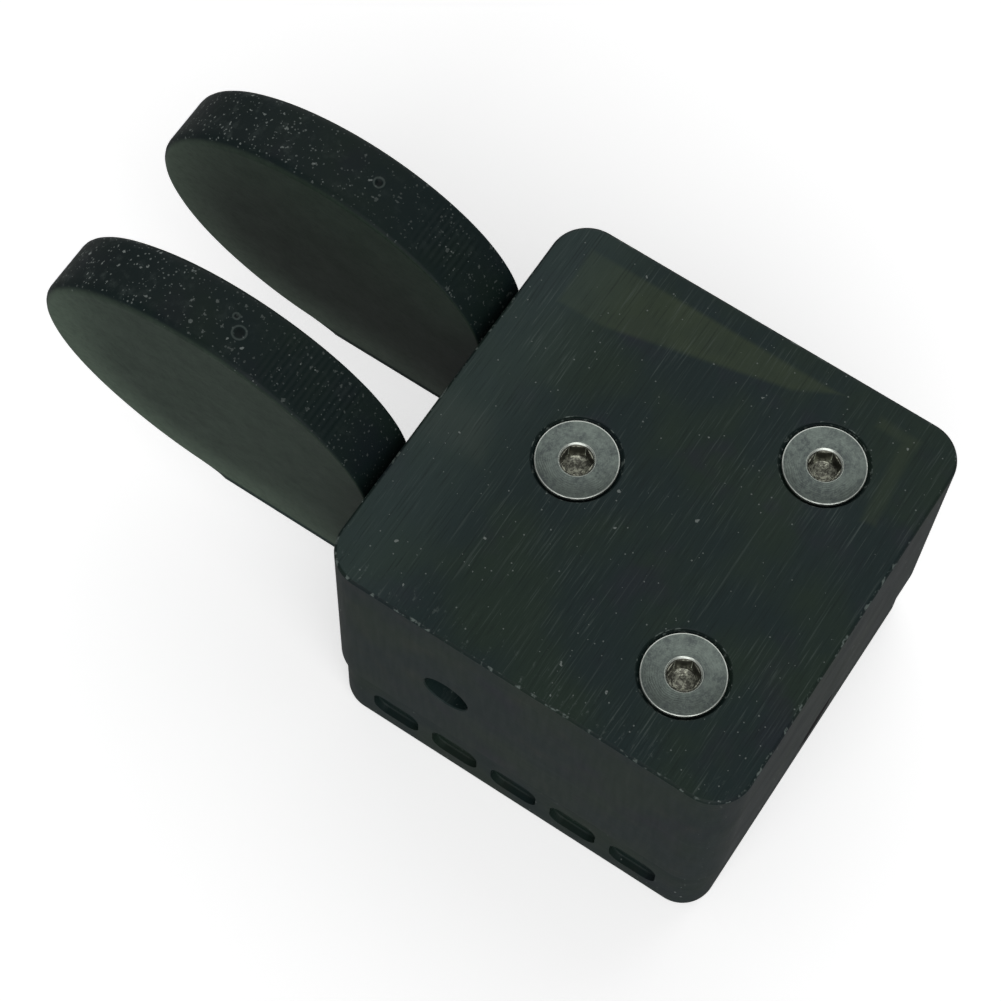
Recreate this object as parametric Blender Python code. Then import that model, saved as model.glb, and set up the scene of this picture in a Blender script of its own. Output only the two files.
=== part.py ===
"""Pocket twin-lever Morse paddle key.

A square resin housing in two pieces, a cover on a base, holds two levers that end in oval finger
pads. Each lever turns on one of the two rear screws. Squeezing a pad inwards brings the lever's
contact screw against the common post on the front screw, and two magnets push the levers apart.

Frame: +Z up, origin at the middle of the base's underside, -Y towards the finger pads, +Y towards
the jack. Lengths are in millimetres: everything hangs on one empty whose scale makes them metres.
"""

import bmesh
import bpy
from math import asin, atan2, cos, hypot, pi, radians, sin, sqrt
from mathutils import Vector

FRAME = "millimetres"
MM = 0.001
GAP = 0.3
OVERCUT = 1.0
ROUND_STEPS = 32
FINE_STEPS = 20

# Housing
BODY_WIDTH = 31.0
BODY_LENGTH = 31.4
BODY_HEIGHT = 26.0
CORNER_RADIUS = 2.8
TOP_EDGE_BEVEL = 0.25
SEAM_Z = 8.1
SIDE_WALL = 1.8
FRONT_WALL = 2.5
REAR_WALL = 2.7
TOP_WALL = 2.7
CAVITY_RADIUS = 1.2
BASE_INSET = 0.35
BASE_TOP = SEAM_Z - GAP
BASE_FLOOR = 3.2
BASE_WALL = 3.0
BASE_EDGE_RADIUS = 1.0
LIP_TOP = 8.6
PILLAR_TOP = 10.4
FRONT_PILLAR_RADIUS = 3.2
REAR_PILLAR_RADIUS = 4.2

# Decorative recesses along the base's +X side
RECESS_COUNT = 5
RECESS_PITCH = 5.0
RECESS_LENGTH = 3.8
RECESS_HEIGHT = 3.0
RECESS_DEPTH = 0.6
RECESS_Z = 3.9

# Housing screws, M3 countersunk with a 2 mm hex socket, in threaded brass inserts
FRONT_SCREW = (0.0, -5.6)
REAR_SCREW = (8.82, 8.21)
SCREW_RADIUS = 1.5
SCREW_LENGTH = 25.0
HEAD_RADIUS = 2.86
HEAD_RIM = 0.25
HEAD_TOP = BODY_HEIGHT - 0.05
SCREW_HOLE = 1.75
SOCKET_FLATS = 2.0
SOCKET_DEPTH = 1.3
THREAD_BORE = 1.65
SCREW_INSERT_RADIUS = 2.15
SCREW_INSERT_BOTTOM = 0.3
SCREW_INSERT_TOP = 4.4

# Levers, given for the +X one and mirrored for the other
LEVER_INNER_X = 4.35
LEVER_THICKNESS = 5.05
LEVER_BOTTOM = 11.5
ARM_TOP = BODY_HEIGHT - TOP_WALL - 0.4
ARM_REAR_Y = 5.0
PAD_CENTRE_Y = -29.5
PAD_CENTRE_Z = 21.78
PAD_HALF_LENGTH = 13.55
PAD_HALF_HEIGHT = 10.34
PAD_STEPS = 40
PAD_EDGE_RADIUS = 0.7
BOSS_RADIUS = 4.5
FLARE_Y = -9.0
FLARE_SETBACK = 0.12
SLEEVE_RADIUS = 2.6
SLEEVE_BORE = 1.65
WASHER_RADIUS = 3.8
WASHER_HEIGHT = 0.5
LEVER_PRESS_ROOM = 0.8

# Contacts
CONTACT_Z = 15.8
CONTACT_GAP = 0.35
POST_RADIUS = 2.0
CONTACT_SCREW_LENGTH = 6.0
CONTACT_SOCKET_FLATS = 1.5
INSERT_RADIUS = 2.25
INSERT_LENGTH = 3.9
KEY_HOLE_RADIUS = 1.75
TAG_THICKNESS = 0.35
TAG_RADIUS = 2.5
TAG_BORE = 1.75
TAG_TAIL_WIDTH = 1.6
MAGNET_Y = -10.5
MAGNET_Z = 17.2
MAGNET_RADIUS = 2.0
MAGNET_THICKNESS = 1.8

# 3.5 mm stereo jack
JACK_Z = 7.0
JACK_HALF_WIDTH = 3.1
JACK_FRONT_Y = 2.4
JACK_REAR_Y = 12.5
NOSE_RADIUS = 2.9
NOSE_END_Y = BODY_LENGTH / 2 - 0.2
NOSE_OPENING = 3.2
JACK_BORE = 1.85
JACK_BORE_END_Y = 3.9
CONTACT_RING_RADIUS = 2.2
CONTACT_RING_FRONT_Y = 12.1
CONTACT_RING_REAR_Y = 15.2
TERMINAL_WIDTH = 1.0
TERMINAL_THICKNESS = 0.3
TERMINAL_FRONT_Y = 0.2
WIRE_RADIUS = 0.45

# Base colour, roughness, metallic
RESIN = ("dark_resin", (0.035, 0.045, 0.043), 0.45, 0.0)
STEEL = ("stainless_steel", (0.62, 0.62, 0.60), 0.28, 1.0)
BRASS = ("brass", (0.72, 0.52, 0.22), 0.30, 1.0)
NICKEL = ("nickel_plate", (0.66, 0.64, 0.60), 0.22, 1.0)
BLACK_PLASTIC = ("black_plastic", (0.02, 0.02, 0.02), 0.40, 0.0)
NYLON = ("nylon", (0.80, 0.79, 0.74), 0.50, 0.0)
LEFT_WIRE = ("red_insulation", (0.45, 0.03, 0.02), 0.45, 0.0)
RIGHT_WIRE = ("white_insulation", (0.75, 0.75, 0.72), 0.45, 0.0)
COMMON_WIRE = ("black_insulation", (0.02, 0.02, 0.02), 0.45, 0.0)

RIGHT, LEFT = 1.0, -1.0
ALONG_X = (0.0, pi / 2, 0.0)
ALONG_Y = (-pi / 2, 0.0, 0.0)
UPRIGHT = (0.0, 0.0, 0.0)


def clear_scene():
    for obj in list(bpy.data.objects):
        bpy.data.objects.remove(obj, do_unlink=True)


def material(finish):
    name, colour, roughness, metallic = finish
    found = bpy.data.materials.get(name)
    if found:
        return found
    made = bpy.data.materials.new(name)
    made.use_nodes = True
    shader = made.node_tree.nodes["Principled BSDF"]
    shader.inputs["Base Color"].default_value = (*colour, 1.0)
    shader.inputs["Roughness"].default_value = roughness
    shader.inputs["Metallic"].default_value = metallic
    return made


# Outlines, as lists of (x, y) running anticlockwise


def arc(centre, radius, start, end, steps):
    """Points from the angle start to the angle end, in degrees, both ends included."""
    angles = [radians(start + (end - start) * i / steps) for i in range(steps + 1)]
    return [(centre[0] + radius * cos(a), centre[1] + radius * sin(a)) for a in angles]


def rounded_rectangle(x0, x1, y0, y1, radius, steps=6):
    corners = [(x1 - radius, y1 - radius), (x0 + radius, y1 - radius),
               (x0 + radius, y0 + radius), (x1 - radius, y0 + radius)]
    points = []
    for quarter, centre in enumerate(corners):
        points += arc(centre, radius, 90 * quarter, 90 * quarter + 90, steps)
    return points


def hexagon(flats):
    return arc((0.0, 0.0), flats / sqrt(3), 0, 300, 5)


# Meshes, built in millimetres


def prism(outline, low, high):
    """The outline pulled up from low to high along Z."""
    mesh = bmesh.new()
    face = mesh.faces.new([mesh.verts.new((x, y, low)) for x, y in outline])
    raised = bmesh.ops.extrude_face_region(mesh, geom=[face])["geom"]
    bmesh.ops.translate(mesh, verts=[v for v in raised if isinstance(v, bmesh.types.BMVert)],
                        vec=(0, 0, high - low))
    bmesh.ops.recalc_face_normals(mesh, faces=mesh.faces)
    return mesh


def block(x0, x1, y0, y1, z0, z1):
    return prism([(x0, y0), (x1, y0), (x1, y1), (x0, y1)], z0, z1)


def turned(profile, steps=ROUND_STEPS):
    """A closed (radius, z) profile turned about Z."""
    mesh = bmesh.new()
    verts = [mesh.verts.new((r, 0, z)) for r, z in profile]
    edges = [mesh.edges.new((verts[i - 1], verts[i])) for i in range(len(verts))]
    bmesh.ops.spin(mesh, geom=verts + edges, cent=(0, 0, 0), axis=(0, 0, 1),
                   angle=2 * pi, steps=steps, use_merge=True)
    bmesh.ops.remove_doubles(mesh, verts=mesh.verts, dist=1e-4)
    needless = [e for e in mesh.edges if not e.link_faces]
    bmesh.ops.delete(mesh, geom=needless, context="EDGES")
    bmesh.ops.recalc_face_normals(mesh, faces=mesh.faces)
    return mesh


def rod(radius, low, high, steps=ROUND_STEPS):
    return turned([(0, low), (radius, low), (radius, high), (0, high)], steps)


def tube(bore, radius, low, high, steps=ROUND_STEPS):
    return turned([(bore, low), (radius, low), (radius, high), (bore, high)], steps)


# Objects


def add(name, mesh, finish=None, at=(0, 0, 0), turn=UPRIGHT, parent=None):
    """An object from a mesh in millimetres; without a finish it is a hidden cutter or joiner."""
    data = bpy.data.meshes.new(name)
    mesh.to_mesh(data)
    mesh.free()
    obj = bpy.data.objects.new(name, data)
    obj.location = at
    obj.rotation_euler = turn
    obj.parent = parent or bpy.data.objects[FRAME]
    bpy.context.scene.collection.objects.link(obj)
    if finish:
        data.materials.append(material(finish))
        data.shade_smooth()
        data.set_sharp_from_angle(angle=radians(35))
    else:
        obj.hide_render = True
        obj.display_type = "WIRE"
    return obj


def boolean(target, other, operation):
    modifier = target.modifiers.new(other.name, "BOOLEAN")
    modifier.operation = operation
    modifier.solver = "EXACT"
    modifier.object = other


def cut(target, label, mesh, at=(0, 0, 0), turn=UPRIGHT):
    boolean(target, add(f"{target.name}.{label}", mesh, None, at, turn, target.parent), "DIFFERENCE")


def join(target, label, mesh, at=(0, 0, 0), turn=UPRIGHT):
    boolean(target, add(f"{target.name}.{label}", mesh, None, at, turn, target.parent), "UNION")


def empty(name, at, parent=None):
    holder = parent or bpy.data.objects.get(FRAME)
    obj = bpy.data.objects.new(name, None)
    obj.location = at
    obj.empty_display_size = 5.0
    obj.parent = holder
    bpy.context.scene.collection.objects.link(obj)
    return obj


def screw_places():
    return {"front": FRONT_SCREW, "rear_left": (-REAR_SCREW[0], REAR_SCREW[1]),
            "rear_right": REAR_SCREW}


# Housing


def make_cover():
    x, y = BODY_WIDTH / 2, BODY_LENGTH / 2
    shell = prism(rounded_rectangle(-x, x, -y, y, CORNER_RADIUS), SEAM_Z, BODY_HEIGHT)
    rim = [e for e in shell.edges if all(abs(v.co.z - BODY_HEIGHT) < 1e-6 for v in e.verts)]
    bmesh.ops.bevel(shell, geom=rim, offset=TOP_EDGE_BEVEL, segments=2, profile=0.5, affect="EDGES")
    cover = add("cover", shell, RESIN)
    ceiling = BODY_HEIGHT - TOP_WALL
    cavity = rounded_rectangle(SIDE_WALL - x, x - SIDE_WALL, FRONT_WALL - y, y - REAR_WALL,
                               CAVITY_RADIUS)
    cut(cover, "cavity", prism(cavity, SEAM_Z - OVERCUT, ceiling))
    sink = HEAD_RADIUS + 0.24
    depth = sink - SCREW_HOLE
    countersink = [(0, -OVERCUT - TOP_WALL), (SCREW_HOLE, -OVERCUT - TOP_WALL),
                   (SCREW_HOLE, -HEAD_RIM - depth), (sink, -HEAD_RIM), (sink, OVERCUT), (0, OVERCUT)]
    for place, (sx, sy) in screw_places().items():
        cut(cover, f"hole_{place}", turned(countersink), at=(sx, sy, BODY_HEIGHT))
    cut(cover, "key_holes", rod(KEY_HOLE_RADIUS, -x - OVERCUT, x + OVERCUT),
        at=(0, FRONT_SCREW[1], CONTACT_Z), turn=ALONG_X)
    inner = LEVER_INNER_X - LEVER_PRESS_ROOM
    outer = LEVER_INNER_X + LEVER_THICKNESS + GAP
    for side, name in ((RIGHT, "right"), (LEFT, "left")):
        low, high = sorted((side * inner, side * outer))
        cut(cover, f"slot_{name}", block(low, high, -y - OVERCUT, FRONT_WALL - y + OVERCUT,
                                         SEAM_Z - OVERCUT, ceiling - 0.1))
    cut(cover, "jack_opening", rod(NOSE_OPENING, y - REAR_WALL - OVERCUT, y + OVERCUT),
        at=(0, 0, JACK_Z), turn=ALONG_Y)
    return cover


def base_outline(inset):
    x, y = BODY_WIDTH / 2 - inset, BODY_LENGTH / 2 - inset
    return rounded_rectangle(-x, x, -y, y, CORNER_RADIUS - BASE_INSET)


def make_base():
    x, y = BODY_WIDTH / 2, BODY_LENGTH / 2
    slab = prism(base_outline(BASE_INSET), 0, BASE_TOP)
    foot = [e for e in slab.edges if all(abs(v.co.z) < 1e-6 for v in e.verts)]
    bmesh.ops.bevel(slab, geom=foot, offset=BASE_EDGE_RADIUS, segments=3, profile=0.5,
                    affect="EDGES")
    base = add("base", slab, RESIN)
    lip = rounded_rectangle(SIDE_WALL + GAP - x, x - SIDE_WALL - GAP, FRONT_WALL + GAP - y,
                            y - REAR_WALL - GAP, CAVITY_RADIUS)
    join(base, "lip", prism(lip, BASE_FLOOR + 0.5, LIP_TOP))
    cavity = rounded_rectangle(BASE_WALL - x, x - BASE_WALL, BASE_WALL + 0.8 - y,
                               y - BASE_WALL - 0.8, CAVITY_RADIUS)
    cut(base, "cavity", prism(cavity, BASE_FLOOR, LIP_TOP + OVERCUT))
    for place, (sx, sy) in screw_places().items():
        radius = FRONT_PILLAR_RADIUS if place == "front" else REAR_PILLAR_RADIUS
        join(base, f"pillar_{place}", rod(radius, BASE_FLOOR - 0.6, PILLAR_TOP), at=(sx, sy, 0))
        pocket, shoulder = SCREW_INSERT_RADIUS + GAP, SCREW_INSERT_TOP + GAP
        bore = [(0, -OVERCUT), (pocket, -OVERCUT), (pocket, shoulder), (SCREW_HOLE, shoulder),
                (SCREW_HOLE, PILLAR_TOP + OVERCUT), (0, PILLAR_TOP + OVERCUT)]
        cut(base, f"hole_{place}", turned(bore), at=(sx, sy, 0))
    tongue_top = LEVER_BOTTOM - GAP
    for side, name in ((RIGHT, "right"), (LEFT, "left")):
        edges = (LEVER_INNER_X - LEVER_PRESS_ROOM + GAP, LEVER_INNER_X + LEVER_THICKNESS)
        low, high = sorted(side * edge for edge in edges)
        join(base, f"tongue_{name}", block(low, high, BASE_INSET + 0.1 - y, FRONT_WALL - y,
                                           BASE_TOP - 1.5, tongue_top))
    room = JACK_HALF_WIDTH + GAP
    cut(base, "jack_room", block(-room, room, y - REAR_WALL - 3 * GAP - BASE_WALL,
                                 JACK_REAR_Y + GAP, JACK_Z - room, LIP_TOP + OVERCUT))
    cut(base, "jack_opening", rod(NOSE_OPENING, JACK_REAR_Y - OVERCUT, y + OVERCUT),
        at=(0, 0, JACK_Z), turn=ALONG_Y)
    entry = NOSE_OPENING - 0.15
    cut(base, "jack_entry", block(-entry, entry, JACK_REAR_Y - OVERCUT - 0.1, y + OVERCUT,
                                  BASE_TOP - 0.2, LIP_TOP + OVERCUT))
    half = RECESS_LENGTH / 2
    pill = rounded_rectangle(-half, half, -RECESS_HEIGHT / 2, RECESS_HEIGHT / 2, 1.0, 4)
    face_x = x - BASE_INSET
    for index in range(RECESS_COUNT):
        along = (index - (RECESS_COUNT - 1) / 2) * RECESS_PITCH
        cut(base, f"recess_{index + 1}", prism(pill, -RECESS_DEPTH, OVERCUT),
            at=(face_x, along, RECESS_Z), turn=(pi / 2, 0.0, pi / 2))
    return base


def hex_socket(flats, depth):
    """A hexagonal hole from Z = 0 down to depth."""
    return prism(hexagon(flats), -depth, OVERCUT)


def make_housing_screws():
    neck = HEAD_RIM + HEAD_RADIUS - SCREW_RADIUS
    tip = SCREW_LENGTH - 0.4
    profile = [(0, -SCREW_LENGTH), (SCREW_RADIUS - 0.4, -SCREW_LENGTH), (SCREW_RADIUS, -tip),
               (SCREW_RADIUS, -neck), (HEAD_RADIUS, -HEAD_RIM), (HEAD_RADIUS, -0.08),
               (HEAD_RADIUS - 0.08, 0), (0, 0)]
    drill = [(0, -SOCKET_DEPTH - 0.5), (SOCKET_FLATS / 2 - 0.05, -SOCKET_DEPTH + 0.1),
             (0, -SOCKET_DEPTH + 0.1)]
    chamfer = [(0, -0.25), (0.95, -0.25), (1.35, 0.15), (0, 0.15)]
    for place, (sx, sy) in screw_places().items():
        at = (sx, sy, HEAD_TOP)
        screw = add(f"screw_{place}", turned(profile), STEEL, at=at)
        cut(screw, "socket", hex_socket(SOCKET_FLATS, SOCKET_DEPTH), at=at)
        cut(screw, "drill", turned(drill, FINE_STEPS), at=at)
        cut(screw, "chamfer", turned(chamfer, FINE_STEPS), at=at)


def make_screw_inserts():
    for place, (sx, sy) in screw_places().items():
        add(f"screw_insert_{place}", tube(THREAD_BORE, SCREW_INSERT_RADIUS, SCREW_INSERT_BOTTOM,
                                          SCREW_INSERT_TOP), BRASS, at=(sx, sy, 0))


def make_common_contact():
    sx, sy = FRONT_SCREW
    low = PILLAR_TOP + GAP
    tag = turned([(TAG_BORE, low), (TAG_RADIUS, low), (TAG_RADIUS, low + TAG_THICKNESS),
                  (TAG_BORE, low + TAG_THICKNESS)])
    common = add("solder_tag_common", tag, BRASS, at=(sx, sy, 0))
    half = TAG_TAIL_WIDTH / 2
    join(common, "tail", block(-half, half, TAG_RADIUS - 0.4, 6.2, low + 0.03,
                               low + TAG_THICKNESS - 0.03), at=(sx, sy, 0))
    post_low = low + TAG_THICKNESS + GAP
    add("contact_post", tube(SLEEVE_BORE, POST_RADIUS, post_low, BODY_HEIGHT - TOP_WALL - GAP),
        BRASS, at=(sx, sy, 0))


# Levers, in the frame of the pivot empty, which stands on the rear screw's axis


def lever_side_outline():
    """The lever from the side, as (y, z): an oval pad cut flat at the bottom, and a straight arm."""
    drop = (LEVER_BOTTOM - PAD_CENTRE_Z) / PAD_HALF_HEIGHT
    rise = (ARM_TOP - PAD_CENTRE_Z) / PAD_HALF_HEIGHT
    first, last = asin(rise), pi - asin(drop)
    angles = [first + (last - first) * i / PAD_STEPS for i in range(PAD_STEPS + 1)]
    pad = [(PAD_CENTRE_Y + PAD_HALF_LENGTH * cos(a), PAD_CENTRE_Z + PAD_HALF_HEIGHT * sin(a))
           for a in angles]
    return pad + [(ARM_REAR_Y, LEVER_BOTTOM), (ARM_REAR_Y, ARM_TOP)]


def boss_outline():
    """The rear of the lever from above: a boss round the pivot, and a flare tangent to it."""
    start = Vector((LEVER_INNER_X + LEVER_THICKNESS - FLARE_SETBACK, FLARE_Y))
    centre = Vector(REAR_SCREW)
    to_centre = centre - start
    swing = asin(BOSS_RADIUS / to_centre.length)
    heading = atan2(to_centre.y, to_centre.x) - swing
    reach = sqrt(to_centre.length ** 2 - BOSS_RADIUS ** 2)
    touch = start + Vector((cos(heading), sin(heading))) * reach
    inner_x = LEVER_INNER_X + FLARE_SETBACK
    across = inner_x - centre.x
    back = -sqrt(BOSS_RADIUS ** 2 - across ** 2)
    first = atan2(touch.y - centre.y, touch.x - centre.x) * 180 / pi
    last = 360 + atan2(back, across) * 180 / pi
    return [(inner_x, FLARE_Y), tuple(start)] + arc(centre, BOSS_RADIUS, first, last, 24)


def mirrored(outline, side):
    """The outline for the lever on this side, still running anticlockwise."""
    if side == RIGHT:
        return outline
    return [(-x, y) for x, y in reversed(outline)]


def from_pivot(outline, side):
    px, py = side * REAR_SCREW[0], REAR_SCREW[1]
    return [(x - px, y - py) for x, y in outline]


def bevel_pad_edges(mesh):
    """Rounds the two rims of the pad, which lie along its oval outline."""
    def on_oval(vert):
        y = (vert.co.y - PAD_CENTRE_Y) / PAD_HALF_LENGTH
        z = (vert.co.z - PAD_CENTRE_Z) / PAD_HALF_HEIGHT
        return abs(hypot(y, z) - 1) < 1e-4

    rims = [e for e in mesh.edges
            if all(on_oval(v) for v in e.verts) and abs(e.verts[0].co.x - e.verts[1].co.x) < 1e-6]
    bmesh.ops.bevel(mesh, geom=rims, offset=PAD_EDGE_RADIUS, segments=2, profile=0.5,
                    affect="EDGES")


def lever_blade(side):
    """The pad and arm as one plate, standing in the Y-Z plane, in the housing's frame."""
    low, high = sorted((side * LEVER_INNER_X, side * (LEVER_INNER_X + LEVER_THICKNESS)))
    mesh = prism(lever_side_outline(), low, high)
    for vert in mesh.verts:
        along, up, across = vert.co
        vert.co = (across, along, up)
    bmesh.ops.recalc_face_normals(mesh, faces=mesh.faces)
    bevel_pad_edges(mesh)
    return mesh


def contact_screw(name, side, pivot):
    """The adjustable contact: a headless screw through the lever, on its own empty."""
    px, py = side * REAR_SCREW[0], REAR_SCREW[1]
    tip = POST_RADIUS + CONTACT_GAP
    slider = empty(f"{name}_adjust", (side * tip - px, FRONT_SCREW[1] - py, CONTACT_Z), pivot)
    outwards = (0.0, side * pi / 2, 0.0)
    end = CONTACT_SCREW_LENGTH
    profile = [(0, 0), (SCREW_RADIUS - 0.6, 0), (SCREW_RADIUS, 0.6), (SCREW_RADIUS, end - 0.2),
               (SCREW_RADIUS - 0.2, end), (0, end)]
    screw = add(f"contact_screw_{name}", turned(profile, 24), STEEL, turn=outwards, parent=slider)
    socket = prism(hexagon(CONTACT_SOCKET_FLATS), end - 1.5, end + OVERCUT)
    cut(screw, "socket", socket, turn=outwards)


def solder_tag(name, side, pivot, at):
    """A flat ring round the contact screw on the lever's inner face, with a tail hanging down."""
    inwards = (0.0, -side * pi / 2, 0.0)
    tag = add(f"solder_tag_{name}", tube(TAG_BORE, TAG_RADIUS, 0, TAG_THICKNESS), BRASS,
              at=at, turn=inwards, parent=pivot)
    half, thin = TAG_TAIL_WIDTH / 2, 0.03
    reach = CONTACT_Z - LEVER_BOTTOM - 0.4
    low, high = sorted((-side * thin, -side * (TAG_THICKNESS - thin)))
    join(tag, "tail", block(low, high, -half, half, -reach, 0.4 - TAG_RADIUS), at=at)


def make_lever(name, side):
    px, py = side * REAR_SCREW[0], REAR_SCREW[1]
    pivot = empty(f"{name}_pivot", (px, py, 0))
    blade = lever_blade(side)
    bmesh.ops.translate(blade, verts=blade.verts, vec=(-px, -py, 0))
    lever = add(f"lever_{name}", blade, RESIN, parent=pivot)
    join(lever, "boss", prism(from_pivot(mirrored(boss_outline(), side), side),
                              LEVER_BOTTOM + 0.08, ARM_TOP - 0.08))
    cut(lever, "pivot_bore", rod(SLEEVE_RADIUS + GAP, LEVER_BOTTOM - OVERCUT, ARM_TOP + OVERCUT))
    inner = side * LEVER_INNER_X - px
    contact_at = (inner, FRONT_SCREW[1] - py, CONTACT_Z)
    outwards = (0.0, side * pi / 2, 0.0)
    magnet_at = (inner, MAGNET_Y - py, MAGNET_Z)
    cut(lever, "magnet_pocket", rod(MAGNET_RADIUS + 0.2, -OVERCUT, MAGNET_THICKNESS + 0.5, 24),
        at=magnet_at, turn=outwards)
    cut(lever, "insert_bore", rod(INSERT_RADIUS + GAP, -OVERCUT, INSERT_LENGTH + 2 * GAP),
        at=contact_at, turn=outwards)
    cut(lever, "key_bore", rod(SCREW_RADIUS + GAP, OVERCUT, 8.0), at=contact_at, turn=outwards)
    add(f"magnet_{name}", rod(MAGNET_RADIUS, 0.2, 0.2 + MAGNET_THICKNESS, 24), NICKEL,
        at=magnet_at, turn=outwards, parent=pivot)
    add(f"pivot_sleeve_{name}", tube(SLEEVE_BORE, SLEEVE_RADIUS, LEVER_BOTTOM, ARM_TOP), BRASS,
        parent=pivot)
    add(f"contact_insert_{name}", tube(SLEEVE_BORE, INSERT_RADIUS, GAP, GAP + INSERT_LENGTH, 24),
        BRASS, at=contact_at, turn=outwards, parent=pivot)
    tag_at = (inner - side * GAP, contact_at[1], CONTACT_Z)
    solder_tag(name, side, pivot, tag_at)
    contact_screw(name, side, pivot)
    washer_top = LEVER_BOTTOM - GAP
    add(f"pivot_washer_{name}", tube(TAG_BORE, WASHER_RADIUS, washer_top - WASHER_HEIGHT, washer_top),
        NYLON, at=(px, py, 0))


# Jack and wiring


def make_jack():
    width = JACK_HALF_WIDTH
    body = add("jack_body", block(-width, width, JACK_FRONT_Y, JACK_REAR_Y, JACK_Z - width,
                                  JACK_Z + width), BLACK_PLASTIC)
    join(body, "nose", rod(NOSE_RADIUS, JACK_REAR_Y - OVERCUT, NOSE_END_Y), at=(0, 0, JACK_Z),
         turn=ALONG_Y)
    cut(body, "bore", rod(JACK_BORE, JACK_BORE_END_Y, NOSE_END_Y + OVERCUT, FINE_STEPS),
        at=(0, 0, JACK_Z), turn=ALONG_Y)
    cut(body, "ring_seat", rod(CONTACT_RING_RADIUS + 0.12, CONTACT_RING_FRONT_Y - 0.2,
                               NOSE_END_Y + OVERCUT, FINE_STEPS), at=(0, 0, JACK_Z), turn=ALONG_Y)
    add("jack_contact_ring", tube(JACK_BORE - 0.02, CONTACT_RING_RADIUS, CONTACT_RING_FRONT_Y,
                                  CONTACT_RING_REAR_Y, FINE_STEPS), NICKEL, at=(0, 0, JACK_Z),
        turn=ALONG_Y)
    for name, (tx, tz) in terminal_places().items():
        half, thin = TERMINAL_WIDTH / 2, TERMINAL_THICKNESS / 2
        add(f"jack_terminal_{name}", block(-half, half, TERMINAL_FRONT_Y, JACK_FRONT_Y - GAP, -thin,
                                           thin), NICKEL, at=(tx, 0, tz))


def terminal_places():
    return {"left": (-2.0, 5.6), "right": (2.0, 5.6), "common": (0.0, 9.2)}


def smooth_route(points, per_span=6):
    """Points along a Catmull-Rom curve through the given ones."""
    knots = [Vector(p) for p in [points[0], *points, points[-1]]]
    route = []
    for a, b, c, d in zip(knots, knots[1:], knots[2:], knots[3:]):
        for step in range(per_span):
            t = step / per_span
            route.append(0.5 * (2 * b + (c - a) * t + (2 * a - 5 * b + 4 * c - d) * t ** 2
                                + (3 * b - a - 3 * c + d) * t ** 3))
    route.append(knots[-1])
    return route


def make_wire(name, points, finish):
    route = smooth_route(points)
    curve = bpy.data.curves.new(name, "CURVE")
    curve.dimensions = "3D"
    curve.bevel_depth = WIRE_RADIUS
    curve.bevel_resolution = 2
    curve.use_fill_caps = True
    spline = curve.splines.new("POLY")
    spline.points.add(len(route) - 1)
    for point, place in zip(spline.points, route):
        point.co = (*place, 1.0)
    curve.materials.append(material(finish))
    wire = bpy.data.objects.new(name, curve)
    wire.parent = bpy.data.objects[FRAME]
    bpy.context.scene.collection.objects.link(wire)


def make_wires():
    """One wire from each jack terminal to the foot of its solder tag."""
    start_y = TERMINAL_FRONT_Y - 0.1
    for name, side, finish in (("left", LEFT, LEFT_WIRE), ("right", RIGHT, RIGHT_WIRE)):
        tx, tz = terminal_places()[name]
        tag_x = side * (LEVER_INNER_X - GAP - TAG_THICKNESS / 2)
        make_wire(f"wire_{name}", [
            (tx, start_y, tz), (tx + side * 0.5, start_y - 1.3, tz + 0.1),
            (side * 3.9, -2.6, 6.4), (side * 4.3, -4.3, 7.9), (side * 4.3, -5.4, 9.6),
            (tag_x, FRONT_SCREW[1], LEVER_BOTTOM - 0.15)], finish)
    tag_z = PILLAR_TOP + GAP
    tx, tz = terminal_places()["common"]
    make_wire("wire_common", [
        (tx, start_y, tz), (tx - 0.2, -0.7, tz - 0.5), (tx - 0.6, -1.5, tz - 0.6),
        (tx - 0.3, -1.6, tz + 0.2), (tx, -0.9, tag_z - 0.65)], COMMON_WIRE)


def main():
    clear_scene()
    empty(FRAME, (0, 0, 0)).scale = (MM, MM, MM)
    make_cover()
    make_base()
    make_housing_screws()
    make_screw_inserts()
    make_common_contact()
    make_lever("right", RIGHT)
    make_lever("left", LEFT)
    make_jack()
    make_wires()


main()
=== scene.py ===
"""Looks of a pocket twin-lever Morse paddle key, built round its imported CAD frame.

The housing, the levers, the screws and the jack are rebuilt here with fine surfaces, in the places
that the frame gives. The pieces inside keep their CAD shapes and get better materials.
Everything is worked out in millimetres, in the frame's own axes, and scaled to metres when a mesh
is finished: +Z up, -Y towards the finger pads, +Y towards the jack.
"""

from collections import namedtuple
from math import asin, atan2, cos, hypot, pi, radians, sin, sqrt

import bmesh
import bpy
from mathutils import Matrix, Vector


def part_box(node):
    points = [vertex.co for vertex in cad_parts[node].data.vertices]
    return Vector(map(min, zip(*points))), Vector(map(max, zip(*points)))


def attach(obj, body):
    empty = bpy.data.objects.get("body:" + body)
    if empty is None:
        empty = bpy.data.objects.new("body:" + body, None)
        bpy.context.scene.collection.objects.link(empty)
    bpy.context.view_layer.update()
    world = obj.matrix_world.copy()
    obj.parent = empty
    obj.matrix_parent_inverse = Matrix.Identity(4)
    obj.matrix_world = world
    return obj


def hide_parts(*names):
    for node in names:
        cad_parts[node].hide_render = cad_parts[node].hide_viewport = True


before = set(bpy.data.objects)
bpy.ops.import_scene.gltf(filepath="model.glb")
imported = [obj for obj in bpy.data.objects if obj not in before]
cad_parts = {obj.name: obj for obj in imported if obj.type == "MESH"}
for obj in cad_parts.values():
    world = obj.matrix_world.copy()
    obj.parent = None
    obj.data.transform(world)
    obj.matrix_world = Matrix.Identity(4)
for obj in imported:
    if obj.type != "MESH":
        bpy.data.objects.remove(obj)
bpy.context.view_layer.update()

MM = 0.001
OVERCUT = 1.0
RIGHT, LEFT = 1.0, -1.0
SIDES = (("right", RIGHT), ("left", LEFT))
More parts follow.
